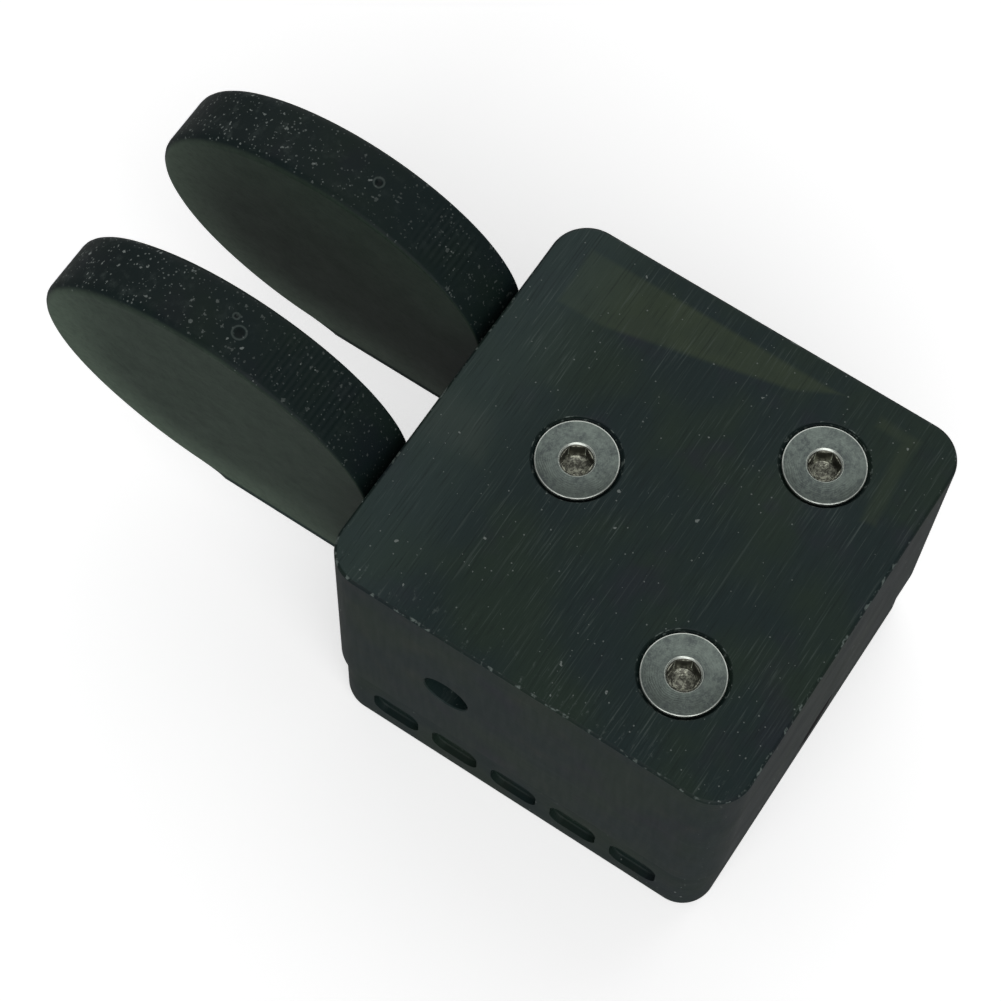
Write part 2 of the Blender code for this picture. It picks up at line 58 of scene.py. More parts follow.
PLACES = ("front", "rear_left", "rear_right")
ALONG_X = (0.0, pi / 2, 0.0)
ALONG_Y = (-pi / 2, 0.0, 0.0)
UPRIGHT = (0.0, 0.0, 0.0)

# Housing walls and edges
CORNER_RADIUS = 2.8
CORNER_STEPS = 20
TOP_EDGE = 0.28
SEAM_EDGE = 0.12
SIDE_WALL = 1.8
FRONT_WALL = 2.5
REAR_WALL = 2.7
TOP_WALL = 2.7
CAVITY_RADIUS = 1.2
SINK_CLEARANCE = 0.24
SINK_EDGE = 0.06
SCREW_HOLE = 1.75
KEY_HOLE_RADIUS = 1.75
KEY_HOLE_EDGE = 0.08
BORE_STEPS = 64
SLOT_CLEARANCE = 0.3
PRESS_ROOM = 0.8
NOSE_OPENING = 3.2

# Base
BASE_CORNER = 2.45
BASE_EDGE = 1.0
BASE_FLOOR = 3.2
BASE_WALL = 3.0
BASE_END_WALL = 3.8
TONGUE_SETBACK = 0.1
TONGUE_ROOT = 1.5
LIP_TOP = 8.6
LIP_GAP = 0.3
LIP_ROOT = 0.5
PILLAR_ROOT = 0.6
PILLAR_TOP = 10.4
FRONT_PILLAR = 3.2
REAR_PILLAR = 4.2
INSERT_POCKET = 2.45
INSERT_SHOULDER = 4.7
INSERT_EDGE = 0.1
INSERT_BORE = 1.62
SCREW_BORE_STEPS = 60
RECESS_COUNT = 5
RECESS_PITCH = 5.0
RECESS_SIZE = (3.8, 3.0)
RECESS_DEPTH = 0.6
RECESS_CORNER = 1.0
RECESS_EDGE = 0.15
RECESS_Z = 3.9

# Screws
THREAD_PITCH = 0.5
THREAD_DEPTH = 0.3
THREAD_CREST = 0.08
THREAD_ROOT = (0.27, 0.33)
SHANK_RADIUS = 1.5
HEAD_RIM = 0.25
HEAD_NECK = 1.0
SOCKET_FLATS = 2.0
SOCKET_DEPTH = 1.3
CHAMFER_RADIUS = 1.24
DRILL_TIP = 0.45
SET_SOCKET_FLATS = 1.5
SET_SOCKET_DEPTH = 1.5
ROUND = 96

# Levers
LEVER_INNER_X = 4.35
LEVER_OUTER_X = 9.4
PAD_CENTRE = (-29.5, 21.78)
PAD_HALF = (13.55, 10.34)
ARM_REAR_Y = 5.0
ARM_CLEARANCE = 0.4
FINE_STEP = 0.055
COARSE_STEP = 0.3
FINE_ANGLES = (30, 90)
BOSS_RADIUS = 4.5
BOSS_INSET = 0.08
BOSS_STEPS = 40
FLARE_Y = -9.0
FLARE_SETBACK = 0.12
SLEEVE_ROOM = 2.9
MAGNET_POCKET_RADIUS = 2.2
MAGNET_POCKET_DEPTH = 2.3
KEY_BORE_DEPTH = 8.0
RIM_COLUMNS = 14
FILLET_STEPS = 5
TIP_FILLET = 0.75
REAR_FILLET = 0.22
FILLET_GROWS_FROM = -19.0
FILLET_GROWS_OVER = 18.0
FOOT_LIP = 0.08
FOOT_LIP_HEIGHT = 0.3
RIDGE_PITCH = 0.4
RIDGE_HEIGHT = 0.035

# Jack
JACK_HALF = 3.1
JACK_REAR_Y = 12.5
NOSE_RADIUS = 2.9
JACK_BORE = 1.85
JACK_BACK = 1.5
JACK_EDGE = 0.2
NOSE_EDGE = 0.25
RING_EDGE = 0.12
MOUTH_EDGE = 0.2

# Ridge patches and ringed pits on the pad rims: places across the rim in X, angles round the
# oval in degrees, and sizes in millimetres
Ridges = namedtuple("Ridges", "across angles fade")
Pit = namedtuple("Pit", "x angle radius depth")
RIDGES = {
    "right": Ridges((4.3, 9.6), (37.0, 73.0), 0.9),
    "left": Ridges((4.9, 9.0), (36.0, 61.0), 0.5),
}
PITS = {
    "right": (Pit(7.1, 81.0, 0.42, 0.05), Pit(6.25, 84.5, 0.16, 0.14)),
    "left": (Pit(7.2, 76.0, 0.30, 0.14),),
}

# Camera and light, in metres
CAMERA_AT = (0.06801, 0.02840, 0.19627)
CAMERA_AIM = (0.00530, -0.00816, 0.0260)
CAMERA_UP = (-0.76323, -0.51399, 0.39152)
CAMERA_LENS = 101.64
SENSOR = 36.0
ROOM_GREY = 0.22
BACKDROP_WHITE = 0.95
FLOOR_SIZE = 40.0
FLOOR_GREY = 0.93
FLOOR_GLOW = 0.45

Box = namedtuple("Box", "x0 x1 y0 y1 z0 z1")


def node_box(name):
    """The CAD node's box at rest, in millimetres."""
    low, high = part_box(name)
    return Box(low.x / MM, high.x / MM, low.y / MM, high.y / MM, low.z / MM, high.z / MM)


COVER = node_box("cover")
BASE = node_box("base")
LEVER = node_box("lever_right")
HEADS = {place: node_box(f"screw_{place}") for place in PLACES}
JACK = node_box("jack_body")
BASE_TOP = COVER.z0 - SLOT_CLEARANCE
CEILING = COVER.z1 - TOP_WALL
ARM_TOP = CEILING - ARM_CLEARANCE


def middle(box):
    return (box.x0 + box.x1) / 2, (box.y0 + box.y1) / 2, (box.z0 + box.z1) / 2


# Outlines, as lists of (x, y) running anticlockwise


def arc(centre, radius, start, end, steps):
    angles = [radians(start + (end - start) * i / steps) for i in range(steps + 1)]
    return [(centre[0] + radius * cos(a), centre[1] + radius * sin(a)) for a in angles]


def rounded_rectangle(x0, x1, y0, y1, radius, steps=CORNER_STEPS):
    corners = [(x1 - radius, y1 - radius), (x0 + radius, y1 - radius),
               (x0 + radius, y0 + radius), (x1 - radius, y0 + radius)]
    points = []
    for quarter, centre in enumerate(corners):
        points += arc(centre, radius, 90 * quarter, 90 * quarter + 90, steps)
    return points


def hexagon(flats):
    return arc((0.0, 0.0), flats / sqrt(3), 0, 300, 5)


# Meshes in millimetres


def prism(outline, low, high):
    mesh = bmesh.new()
    face = mesh.faces.new([mesh.verts.new((x, y, low)) for x, y in outline])
    raised = bmesh.ops.extrude_face_region(mesh, geom=[face])["geom"]
    bmesh.ops.translate(mesh, verts=[v for v in raised if isinstance(v, bmesh.types.BMVert)],
                        vec=(0, 0, high - low))
    bmesh.ops.recalc_face_normals(mesh, faces=mesh.faces)
    return mesh


def block(x0, x1, y0, y1, z0, z1):
    return prism([(x0, y0), (x1, y0), (x1, y1), (x0, y1)], z0, z1)


def turned(profile, steps=ROUND):
    """A closed (radius, z) profile turned about Z, as rings of quads and fans at the axis."""
    mesh = bmesh.new()
    rings = []
    for radius, z in profile:
        if radius < 1e-6:
            rings.append([mesh.verts.new((0, 0, z))])
        else:
            rings.append([mesh.verts.new((radius * cos(2 * pi * i / steps),
                                          radius * sin(2 * pi * i / steps), z))
                          for i in range(steps)])
    for a, b in zip(rings, rings[1:] + rings[:1]):
        if len(a) == 1 and len(b) == 1:
            continue
        for i in range(steps):
            j = (i + 1) % steps
            corners = [a[i % len(a)], a[j % len(a)], b[j % len(b)], b[i % len(b)]]
            mesh.faces.new(list(dict.fromkeys(corners)))
    bmesh.ops.recalc_face_normals(mesh, faces=mesh.faces)
    return mesh


def rod(radius, low, high, steps=ROUND):
    return turned([(0, low), (radius, low), (radius, high), (0, high)], steps)


def tube(bore, radius, low, high, chamfer=0.1, steps=ROUND):
    """A tube with chamfered ends, outside and inside."""
    return turned([(bore + chamfer, low), (radius - chamfer, low), (radius, low + chamfer),
                   (radius, high - chamfer), (radius - chamfer, high), (bore + chamfer, high),
                   (bore, high - chamfer), (bore, low + chamfer)], steps)


def copies(mesh, places):
    """The mesh repeated at each (x, y) place, as one mesh."""
    data = bpy.data.meshes.new("copied")
    mesh.to_mesh(data)
    mesh.free()
    whole = bmesh.new()
    for x, y in places:
        data.transform(Matrix.Translation((x, y, 0)))
        whole.from_mesh(data)
        data.transform(Matrix.Translation((-x, -y, 0)))
    bpy.data.meshes.remove(data)
    return whole


def bevel_level(mesh, z, width, segments):
    """Rounds the edges that lie flat at this height."""
    level = [e for e in mesh.edges if all(abs(v.co.z - z) < 1e-6 for v in e.verts)]
    bmesh.ops.bevel(mesh, geom=level, offset=width, segments=segments, profile=0.5, affect="EDGES")


class Solid:
    """A mesh with Boolean joins and cuts still to be made, in millimetres."""

    def __init__(self, mesh, at=(0, 0, 0), turn=UPRIGHT):
        self.helpers = []
        self.target = self.helper(mesh, at, turn)

    def helper(self, mesh, at, turn):
        data = bpy.data.meshes.new("helper")
        mesh.to_mesh(data)
        mesh.free()
        obj = bpy.data.objects.new("helper", data)
        obj.location = at
        obj.rotation_euler = turn
        bpy.context.scene.collection.objects.link(obj)
        self.helpers.append(obj)
        return obj

    def boolean(self, operation, mesh, at, turn):
        modifier = self.target.modifiers.new(operation, "BOOLEAN")
        modifier.operation = operation
        modifier.solver = "EXACT"
        modifier.object = self.helper(mesh, at, turn)

    def cut(self, mesh, at=(0, 0, 0), turn=UPRIGHT):
        self.boolean("DIFFERENCE", mesh, at, turn)

    def join(self, mesh, at=(0, 0, 0), turn=UPRIGHT):
        self.boolean("UNION", mesh, at, turn)

    def mesh(self):
        """The finished mesh, in millimetres in the frame's axes. The helpers are removed."""
        graph = bpy.context.evaluated_depsgraph_get()
        made = bpy.data.meshes.new_from_object(self.target.evaluated_get(graph))
        made.transform(self.target.matrix_world)
        for obj in self.helpers:
            bpy.data.meshes.remove(obj.data)
        return made


def piece(name, data, body, slot, finish, *replaced, sharp=30):
    """A finished piece from a mesh in millimetres, riding on its body in place of its CAD nodes."""
    data.name = name
    data.transform(Matrix.Scale(MM, 4))
    data.materials.clear()
    data.materials.append(finish)
    data.shade_smooth()
    data.set_sharp_from_angle(angle=radians(sharp))
    obj = bpy.data.objects.new(name, data)
    bpy.context.scene.collection.objects.link(obj)
    weighted = obj.modifiers.new("weighted_normals", "WEIGHTED_NORMAL")
    weighted.keep_sharp = True
    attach(obj, body)
    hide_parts(*replaced)


# Material building


def srgb(red, green, blue):
    """A colour given in 8-bit sRGB, as linear values."""
    def linear(value):
        value /= 255
        return value / 12.92 if value <= 0.04045 else ((value + 0.055) / 1.055) ** 2.4

    return (linear(red), linear(green), linear(blue), 1.0)


class Finish:
    """A Principled material whose patterns are laid out in millimetres in the piece's own axes."""

    def __init__(self, name, roughness, metallic=0.0, specular=0.5):
        self.material = bpy.data.materials.new(name)
        self.material.use_nodes = True
        self.tree = self.material.node_tree
        self.shader = self.tree.nodes["Principled BSDF"]
        self.shader.inputs["Roughness"].default_value = roughness
        self.shader.inputs["Metallic"].default_value = metallic
        self.shader.inputs["Specular IOR Level"].default_value = specular
        coordinates = self.tree.nodes.new("ShaderNodeTexCoord")
        scaled = self.tree.nodes.new("ShaderNodeVectorMath")
        scaled.operation = "SCALE"
        scaled.inputs["Scale"].default_value = 1 / MM
        self.tree.links.new(coordinates.outputs["Object"], scaled.inputs[0])
        self.place = scaled.outputs[0]
        self.x, self.y, self.z = self.split(self.place)
        self.facing = self.split(coordinates.outputs["Normal"])

    def put(self, value, socket):
        if isinstance(value, bpy.types.NodeSocket):
            self.tree.links.new(value, socket)
        else:
            socket.default_value = value

    def split(self, vector):
        node = self.tree.nodes.new("ShaderNodeSeparateXYZ")
        self.put(vector, node.inputs[0])
        return node.outputs[0], node.outputs[1], node.outputs[2]

    def math(self, operation, *values):
        node = self.tree.nodes.new("ShaderNodeMath")
        node.operation = operation
        for value, socket in zip(values, node.inputs):
            self.put(value, socket)
        return node.outputs[0]

    def add(self, a, b):
        return self.math("ADD", a, b)

    def minus(self, a, b):
        return self.math("SUBTRACT", a, b)

    def times(self, a, b):
        return self.math("MULTIPLY", a, b)

    def most(self, a, b):
        return self.math("MAXIMUM", a, b)

    def linear(self, value, factor, offset):
        return self.math("MULTIPLY_ADD", value, factor, offset)

    def ramp(self, value, low, high):
        """A smooth step from 0 at low to 1 at high; low may be the greater."""
        if low > high:
            return self.minus(1.0, self.ramp(value, high, low))
        node = self.tree.nodes.new("ShaderNodeMapRange")
        node.interpolation_type = "SMOOTHSTEP"
        for value_in, socket in zip((value, low, high, 0.0, 1.0), node.inputs):
            self.put(value_in, socket)
        return node.outputs[0]

    def distance(self, centre):
        """How far each point is from this place, in millimetres."""
        node = self.tree.nodes.new("ShaderNodeVectorMath")
        node.operation = "DISTANCE"
        self.put(self.place, node.inputs[0])
        node.inputs[1].default_value = centre
        return node.outputs["Value"]

    def stretched(self, stretch, seed):
        """The place, scaled by one number or by one for each axis, and moved by the seed."""
        node = self.tree.nodes.new("ShaderNodeVectorMath")
        node.operation = "MULTIPLY_ADD"
        self.put(self.place, node.inputs[0])
        node.inputs[1].default_value = (stretch,) * 3 if isinstance(stretch, float) else stretch
        node.inputs[2].default_value = (seed * 7.3, seed * 3.1, seed * 5.7)
        return node.outputs[0]

    def noise(self, stretch, seed=0.0, detail=2.0, roughness=0.5):
        """Noise from 0 to 1, with this many features to a millimetre in all or along each axis."""
        node = self.tree.nodes.new("ShaderNodeTexNoise")
        self.put(self.stretched(stretch, seed), node.inputs["Vector"])
        node.inputs["Scale"].default_value = 1.0
        node.inputs["Detail"].default_value = detail
        node.inputs["Roughness"].default_value = roughness
        return node.outputs[0]

    def patches(self, stretch, seed, detail, low, high, roughness=0.5):
        """Noise made into soft-edged patches, where it rises from low to high."""
        return self.ramp(self.noise(stretch, seed, detail, roughness), low, high)

    def specks(self, per_mm, radius, share, seed=0.0, wobble=0.0):
        """Scattered spots: one in each cell at most, in this share of the cells."""
        where = self.stretched(per_mm, seed)
        if wobble:
            warp = self.tree.nodes.new("ShaderNodeTexNoise")
            self.put(where, warp.inputs["Vector"])
            warp.inputs["Scale"].default_value = 2.5
            bent = self.tree.nodes.new("ShaderNodeVectorMath")
            bent.operation = "MULTIPLY_ADD"
            self.put(warp.outputs["Color"], bent.inputs[0])
            bent.inputs[1].default_value = (wobble, wobble, wobble)
            self.put(where, bent.inputs[2])
            where = bent.outputs[0]
        cells = self.tree.nodes.new("ShaderNodeTexVoronoi")
        self.put(where, cells.inputs["Vector"])
        cells.inputs["Scale"].default_value = 1.0
        chance, size, _ = self.split(cells.outputs["Color"])
        reach = self.times(self.linear(size, 0.8, 0.35), radius * per_mm)
        spot = self.math("LESS_THAN", cells.outputs["Distance"], reach)
        return self.times(spot, self.math("LESS_THAN", chance, share))

    def inside(self, corners, softness):
        """1 within a convex (x, y) outline given anticlockwise, fading out over the softness."""
        nearest = None
        for (ax, ay), (bx, by) in zip(corners, corners[1:] + corners[:1]):
            length = hypot(bx - ax, by - ay)
            nx, ny = (ay - by) / length, (bx - ax) / length
            across = self.add(self.times(self.x, nx), self.times(self.y, ny))
            depth = self.minus(across, ax * nx + ay * ny)
            nearest = depth if nearest is None else self.math("MINIMUM", nearest, depth)
        return self.ramp(nearest, -softness, softness)

    def mix(self, factor, a, b):
        node = self.tree.nodes.new("ShaderNodeMix")
        node.data_type = "RGBA"
        for value, socket in ((factor, 0), (a, 6), (b, 7)):
            self.put(value, node.inputs[socket])
        return node.outputs[2]

    def lay(self, under, over, share, *others):
        """One colour laid over another, by the product of these shares."""
        for other in others:
            share = self.times(share, other)
        return self.mix(share, under, over)

    def bump(self, height, depth, under=None):
        """Adds relief of this depth, in millimetres, to the normal or to an earlier relief."""
        node = self.tree.nodes.new("ShaderNodeBump")
        node.inputs["Distance"].default_value = depth * MM
        self.put(height, node.inputs["Height"])
        if under:
            self.put(under, node.inputs["Normal"])
        return node.outputs[0]

    def set(self, **sockets):
        """Sets the shader's sockets, named with _ for a space. Gives the finished material."""
        for name, value in sockets.items():
            self.put(value, self.shader.inputs[name.replace("_", " ")])
        return self.material


# Resin

DEEP = srgb(27, 41, 41)
GREENISH = srgb(32, 46, 38)
VIOLET = srgb(34, 37, 46)
BLACKISH = srgb(12, 20, 20)
BROWNISH = srgb(46, 48, 42)
BAND = srgb(50, 61, 46)
PAINTED_LIGHT_COLOUR = srgb(58, 64, 58)
PAINTED_FRONT_LIGHT = srgb(50, 64, 62)
RIM = srgb(15, 25, 25)
OLIVE = srgb(48, 60, 51)
OLIVE_DARK = srgb(39, 50, 42)
PAINTED_GLOW = srgb(77, 92, 78)
DUST = srgb(150, 158, 154)
WORN = srgb(98, 108, 104)

# Greener bands on the cover's top, and a patch of painted light near its front, as convex (x, y)
# outlines
FAR_BAND = ((-13.8, 6.3), (-13.7, -13.2), (-9.1, -13.0), (-9.2, -9.5), (-12.3, 3.6))
BACK_BAND = ((-13.9, 12.5), (-13.2, 11.6), (-6.7, 12.2), (-6.9, 13.2))
SIDE_BAND = ((-13.9, 9.6), (-13.1, 9.6), (-13.0, 12.7), (-13.8, 12.7))
PAINTED_LIGHT_PATCH = ((0.4, -15.9), (4.4, -15.9), (3.6, -11.0), (0.8, -11.8))


def resin_ground(paint):
    """The clouded dark colour that all the resin has."""
    ground = paint.mix(paint.patches(0.16, 1, 3, 0.38, 0.66), DEEP, GREENISH)
    return paint.lay(ground, VIOLET, paint.patches(0.22, 4, 3, 0.52, 0.72), 0.55)


def resin_dust(paint, colour, amount, seed=0.0):
    """Fine dust and a few larger flecks. Gives the colour and the flecks."""
    fine = paint.specks(2.4, 0.055, 0.5 * amount, seed + 2)
    flecks = paint.specks(0.9, 0.12, 0.36 * amount, seed + 5, wobble=0.5)
    colour = paint.lay(colour, DUST, fine, 0.36)
    return paint.lay(colour, DUST, flecks, 0.45), flecks


def resin_walls(paint, colour, where, painted_shade, worn):
    """Painted shade where given, brownish blotches there, and thin print layers. Gives the colour
    and the layers.
    """
    colour = paint.lay(colour, BLACKISH, where, painted_shade)
    blotches = paint.patches((0.5, 0.5, 0.35), 27, 4, 0.5, 0.8)
    colour = paint.lay(colour, BROWNISH, blotches, where, 0.35)
    layers = paint.noise((0.04, 0.04, 9.0), 6, 3)
    return paint.lay(colour, WORN, paint.ramp(layers, 0.55, 0.85), worn), layers


def cover_resin():
    paint = Finish("cover_resin", 0.42, specular=0.16)
    upward = paint.facing[2]
    on_top = paint.ramp(upward, 0.9, 0.99)
    on_wall = paint.ramp(upward, 0.5, 0.1)
    rear_bands = paint.most(paint.inside(BACK_BAND, 0.3), paint.inside(SIDE_BAND, 0.3))
    bands = paint.most(paint.inside(FAR_BAND, 0.25), paint.times(rear_bands, 0.55))
    uneven = paint.linear(paint.noise((0.5, 0.3, 0.5), 9), 0.8, 0.5)
    colour = paint.lay(resin_ground(paint), BAND, bands, on_top, uneven)
    # A patch of painted light near the front of the top
    colour = paint.lay(colour, PAINTED_LIGHT_COLOUR, paint.inside(PAINTED_LIGHT_PATCH, 0.9), on_top, 0.5)
    # Painted light on the top, growing towards the front
    colour = paint.lay(colour, PAINTED_FRONT_LIGHT, paint.ramp(paint.y, -7.0, -14.0), on_top, 0.55)
    # Fine short lines across the top, dark and light
    lines = paint.noise((0.26, 8.0, 0.3), 3, 4, 0.65)
    colour = paint.lay(colour, BLACKISH, paint.ramp(lines, 0.46, 0.34), on_top, 0.35)
    unequal = paint.linear(paint.patches(0.14, 19, 2, 0.42, 0.62), 0.24, 0.10)
    colour = paint.lay(colour, WORN, paint.ramp(lines, 0.54, 0.72), on_top, unequal)
    scores = paint.patches((0.16, 5.0, 0.3), 8, 3, 0.64, 0.74)
    colour = paint.lay(colour, WORN, scores, on_top, 0.16)
    # The walls facing sideways and down get painted shade, darker than the top
    colour, layers = resin_walls(paint, colour, on_wall, 0.25, 0.12)
    # Painted shade on the rounded top edge, worn nicks along it, and scuffs beside it on the +X
    # side
    rounding = paint.times(paint.ramp(upward, 0.20, 0.55), paint.ramp(upward, 0.985, 0.90))
    edge = paint.times(rounding, paint.ramp(paint.z, COVER.z1 - 2 * TOP_EDGE, COVER.z1 - TOP_EDGE))
    colour = paint.lay(colour, BLACKISH, edge, 0.35)
    colour = paint.lay(colour, WORN, edge, paint.patches(2.2, 12, 4, 0.54, 0.66), 0.8)
    by_edge = paint.ramp(paint.minus(COVER.x1, paint.x), 3.4, 0.2)
    scuffs = paint.patches((1.6, 3.2, 1.6), 33, 5, 0.58, 0.70, 0.7)
    colour = paint.lay(colour, WORN, scuffs, by_edge, on_top, 0.45)
    colour, flecks = resin_dust(paint, colour, 0.6)
    relief = paint.bump(paint.times(lines, on_top), 0.014)
    relief = paint.bump(flecks, 0.03, paint.bump(layers, 0.006, relief))
    rough = paint.linear(paint.noise((0.3, 2.0, 0.3), 15, 3), 0.16, 0.36)
    return paint.set(Base_Color=colour, Normal=relief, Roughness=rough)


def base_resin():
    paint = Finish("base_resin", 0.45, specular=0.16)
    # The base is darkened all over with painted shade, as the cover's walls are
    colour, layers = resin_walls(paint, resin_ground(paint), 1.0, 0.2, 0.14)
    scuffs = paint.patches(0.9, 21, 4, 0.60, 0.74)
    colour = paint.lay(colour, WORN, scuffs, paint.ramp(paint.z, 1.6, 0.2), 0.7)
    colour, flecks = resin_dust(paint, colour, 0.9, 30)
    relief = paint.bump(flecks, 0.03, paint.bump(layers, 0.008))
    rough = paint.linear(paint.noise(0.6, 15, 3), 0.2, 0.38)
    return paint.set(Base_Color=colour, Normal=relief, Roughness=rough)


def lever_resin(name, side):
    """Dark rims, and olive faces with painted glow towards the tip and the lower edge, and painted
    shade towards the arm.
    """
    paint = Finish(f"lever_resin_{name}", 0.45, specular=0.12)
    rim = paint.mix(0.65, resin_ground(paint), RIM)
    across = paint.math("ABSOLUTE", paint.facing[0])
    # Where on the oval: 1 at its edge along each axis
    long_way = paint.times(paint.minus(paint.y, PAD_CENTRE[0]), 1 / PAD_HALF[0])
    high_way = paint.times(paint.minus(paint.z, PAD_CENTRE[1]), 1 / PAD_HALF[1])
    squares = paint.add(paint.times(long_way, long_way), paint.times(high_way, high_way))
    far_out = paint.math("SQRT", squares)
    # Painted glow on the faces, near the lower edge towards the tip and along the foot
    downwards = paint.ramp(paint.add(long_way, high_way), 0.5, -1.0)
    painted_glow = paint.times(paint.ramp(far_out, 0.45, 1.02), downwards)
    foot = paint.times(paint.ramp(paint.z, 15.5, 11.3), paint.ramp(paint.y, -36.0, -30.0))
    painted_glow = paint.most(painted_glow, paint.times(foot, 0.75))
    face = paint.lay(OLIVE, OLIVE_DARK, paint.patches((0.3, 0.5, 0.9), 17, 4, 0.3, 0.75), 0.6)
    # Painted shade on the faces towards the arm, where the housing shades them
    face = paint.lay(face, OLIVE_DARK, paint.ramp(paint.y, -30.0, -15.0), 0.6)
    # The painted glow, laid on the faces
    face = paint.lay(face, PAINTED_GLOW, painted_glow, 0.8)
    face = paint.lay(face, RIM, paint.patches((2.2, 2.2, 3.0), 23, 4, 0.4, 0.7, 0.7), 0.3)
    colour = paint.mix(paint.ramp(across, 0.55, 0.95), rim, face)
    # Painted shade along the underside, behind the tip
    under = paint.times(paint.ramp(paint.z, 11.95, 11.75), paint.ramp(paint.y, -33.6, -33.0))
    colour = paint.lay(colour, DEEP, under, 0.85)
    # Cloudy wear, dust and scratches on the rim, most at the tip
    tip = paint.linear(paint.ramp(paint.y, -26.0, -40.0), 0.75, 0.25)
    on_rim = paint.times(paint.ramp(across, 0.8, 0.4), tip)
    clouded = paint.patches(0.9, 43 + side, 5, 0.5, 0.75, 0.7)
    dusty = paint.specks(3.2, 0.07, 0.8, 47 + side, wobble=0.5)
    scratched = paint.specks(1.5, 0.13, 0.75, 41 + side, wobble=0.9)
    colour = paint.lay(colour, WORN, clouded, on_rim, 0.22)
    colour = paint.lay(colour, DUST, dusty, on_rim, 0.5)
    colour = paint.lay(colour, DUST, scratched, on_rim, 0.6)
    # Each pit is darkened inside with painted shade in its hollow, and gets a paler ring round it
    for pit in PITS[name]:
        out = paint.distance(Vector(pit_place(pit)) * Vector((side, 1, 1)))
        from_ring = paint.math("ABSOLUTE", paint.minus(out, pit.radius + 0.06))
        colour = paint.lay(colour, BLACKISH, paint.ramp(out, pit.radius, pit.radius * 0.6), 0.8)
        colour = paint.lay(colour, WORN, paint.ramp(from_ring, 0.10, 0.03), 0.3)
    colour, flecks = resin_dust(paint, colour, 0.6, 50 + side)
    layers = paint.noise((0.05, 0.05, 9.0), 6, 3)
    relief = paint.bump(flecks, 0.03, paint.bump(layers, 0.006))
    rough = paint.linear(paint.noise(0.5, 15, 3), 0.18, 0.36)
    return paint.set(Base_Color=colour, Normal=relief, Roughness=rough)


# Metals, plastics and wires

STEEL = srgb(108, 117, 112)
STEEL_SHADE = srgb(90, 97, 96)
STEEL_GRAIN = srgb(128, 139, 132)
STEEL_STAIN = srgb(68, 73, 72)
SOCKET_WALL_SHADE = srgb(96, 96, 88)
SOCKET_BOTTOM_HIGHLIGHT = srgb(172, 174, 158)
EDGE_HIGHLIGHT = srgb(232, 238, 230)
RINGS_TURN = 42.0


def metal(name, light, dark, roughness, grain=2.0):
    """A mottled metal with a fine grain."""
    paint = Finish(name, roughness, metallic=1.0)
    colour = paint.mix(paint.patches(0.7, 2, 4, 0.35, 0.7), light, dark)
    fine = paint.noise(grain, 6, 3)
    rough = paint.linear(fine, 0.18, roughness - 0.09)
    return paint.set(Base_Color=colour, Roughness=rough, Normal=paint.bump(fine, 0.004))


def screw_steel(place):
    """Stainless steel with the rings that turning leaves on the flat of the head."""
    cx, cy, _ = middle(HEADS[place])
    paint = Finish(f"screw_steel_{place}", 0.36, metallic=1.0)
    dx, dy = paint.minus(paint.x, cx), paint.minus(paint.y, cy)
    out = paint.math("SQRT", paint.add(paint.times(dx, dx), paint.times(dy, dy)))
    wander = paint.times(paint.noise(0.8, 3, 3), 0.5)
    rings = paint.math("SINE", paint.times(paint.add(out, wander), RINGS_TURN))
    clouds = paint.patches(0.9, 7, 3, 0.35, 0.68)
    grain = paint.patches(4.0, 11, 4, 0.38, 0.66, 0.75)
    colour = paint.mix(clouds, STEEL, STEEL_SHADE)
    colour = paint.lay(colour, STEEL_GRAIN, grain, 0.7)
    stains = paint.specks(3.0, 0.08, 0.5, 3, wobble=0.5)
    colour = paint.lay(colour, STEEL_STAIN, stains, 0.35)
    # Painted shade on the socket's walls, a painted highlight on its drilled bottom, and painted
    # highlights on the chamfer round it and on the head's edge
    in_socket = paint.ramp(out, CHAMFER_RADIUS - 0.02, CHAMFER_RADIUS - 0.1)
    colour = paint.mix(in_socket, colour, SOCKET_WALL_SHADE)
    on_bottom = paint.times(in_socket, paint.ramp(paint.facing[2], 0.75, 0.85))
    colour = paint.lay(colour, SOCKET_BOTTOM_HIGHLIGHT, on_bottom, paint.ramp(grain, 0.1, 0.9))
    chamfer = paint.times(paint.ramp(out, CHAMFER_RADIUS + 0.03, CHAMFER_RADIUS),
                          paint.ramp(out, CHAMFER_RADIUS - 0.12, CHAMFER_RADIUS - 0.08))
    head = (HEADS[place].x1 - HEADS[place].x0) / 2
    edge = paint.most(chamfer, paint.ramp(out, head - 0.12, head - 0.06))
    colour = paint.lay(colour, EDGE_HIGHLIGHT, edge, 0.9)
    rough = paint.linear(clouds, 0.10, 0.32)
    relief = paint.bump(rings, 0.0016)
    relief = paint.bump(paint.noise(6.0, 4, 3), 0.005, relief)
    return paint.set(Base_Color=colour, Roughness=rough, Normal=relief)


def plastic(name, light, dark, roughness):
    """A moulded plastic with a slight mottle and a fine texture."""
    paint = Finish(name, roughness, specular=0.45)
    colour = paint.mix(paint.patches(0.5, 3, 3, 0.35, 0.7), light, dark)
    colour = paint.lay(colour, DUST, paint.specks(1.5, 0.05, 0.3, 6), 0.4)
    fine = paint.noise(5.0, 5, 3)
    rough = paint.linear(fine, 0.16, roughness - 0.08)
    return paint.set(Base_Color=colour, Roughness=rough, Normal=paint.bump(fine, 0.006))


